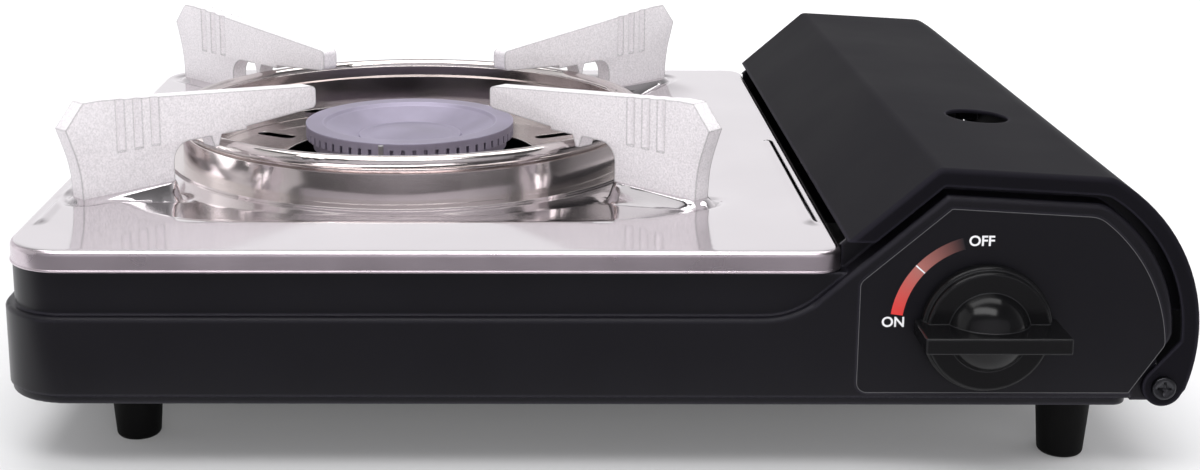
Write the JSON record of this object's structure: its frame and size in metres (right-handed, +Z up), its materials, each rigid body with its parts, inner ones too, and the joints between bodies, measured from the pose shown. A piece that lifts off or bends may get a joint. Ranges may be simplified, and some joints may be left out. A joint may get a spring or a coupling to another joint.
{
  "type": "butane cassette stove",
  "caption": "Portable tabletop gas stove with a polished drip tray, cast pan supports and a hinged cover over its cartridge bay.",
  "frame": {"origin": "under the middle of the stove, on the surface that its feet stand on", "axes": "+X to the right of someone facing the knob, +Y to the back, +Z up"},
  "size_m": [0.335, 0.279, 0.0952],
  "materials": {
    "black_enamel": "semi-gloss black enamel on pressed steel",
    "dark_steel": "dark coated steel sheet",
    "panel_film": "satin black film with printed dial marks",
    "stainless": "bright pressed stainless steel",
    "polished_steel": "polished stainless steel",
    "cast_alloy": "pale grained enamel on cast arms",
    "burner_alloy": "matt cast alloy",
    "zinc": "die-cast zinc",
    "screw_steel": "plated steel",
    "brass": "turned brass",
    "aluminium_sheet": "mill finish",
    "ceramic": "glazed ceramic",
    "rubber": "matt black rubber",
    "magnet": "bare ferrite",
    "black_plastic": "moulded gloss black plastic"
  },
  "bodies": {
    "stove": {"air_shutter": "stainless", "base_plate": "dark_steel", "body_shell": "black_enamel", "burner_base": "burner_alloy", "burner_bracket": "dark_steel", "burner_cap": "burner_alloy", "burner_head": "burner_alloy", "burner_screws": "screw_steel", "cartridge_guide": "dark_steel", "control_panel": "panel_film", "cover_hinge_screws": "screw_steel", "foot_front_left": "rubber", "foot_front_right": "rubber", "foot_rear_left": "rubber", "foot_rear_right": "rubber", "foot_screws": "screw_steel", "gas_nozzle": "brass", "gas_pipe": "brass", "heat_panel": "aluminium_sheet", "hinge_bracket_front": "dark_steel", "hinge_bracket_rear": "dark_steel", "igniter_bracket": "dark_steel", "igniter_electrode": "screw_steel", "igniter_insulator": "ceramic", "igniter_wire": "rubber", "mixing_tube": "stainless", "partition_wall": "dark_steel", "piezo_igniter": "black_plastic", "regulator_body": "zinc", "regulator_bracket": "dark_steel", "regulator_cap": "zinc", "regulator_cap_screws": "screw_steel", "regulator_magnet": "magnet", "regulator_screws": "screw_steel", "regulator_seal": "rubber", "shaft_bush": "black_plastic"},
    "tray": {"top_plate": "stainless", "windshield_ring": "polished_steel", "burner_surround": "stainless", "surround_rim": "stainless", "pan_support_screws": "screw_steel", "pan_support_front_left": "cast_alloy", "pan_support_front_right": "cast_alloy", "pan_support_rear_left": "cast_alloy", "pan_support_rear_right": "cast_alloy"},
    "cover": {"cartridge_cover": "black_enamel"},
    "knob": {"knob": "black_plastic", "control_shaft": "screw_steel", "control_cam": "black_plastic"},
    "plunger": {"piezo_plunger": "black_plastic"}
  },
  "joints": [
    {"name": "cover_hinge", "type": "hinge", "parent": "stove", "child": "cover", "pos_m": [0.1584, 0, 0.0264], "axis": [0, 1, 0], "range_deg": [0, 100]},
    {"name": "knob_turn", "type": "hinge", "parent": "stove", "child": "knob", "pos_m": [0.1078, -0.122, 0.0443], "axis": [0, 1, 0], "range_deg": [-10, 85]},
    {"name": "plunger_slide", "type": "slide", "parent": "stove", "child": "plunger", "axis": [-1, 0, 0], "range_m": [-0.00042, 0.00354]},
    {"name": "tray_lift", "type": "slide", "parent": "stove", "child": "tray", "axis": [0, 0, 1], "range_m": [0, 0.06]}
  ],
  "couplings": [
    {"joint": "plunger_slide", "follows": "knob_turn", "m_per_rad": 0.0023873}
  ]
}
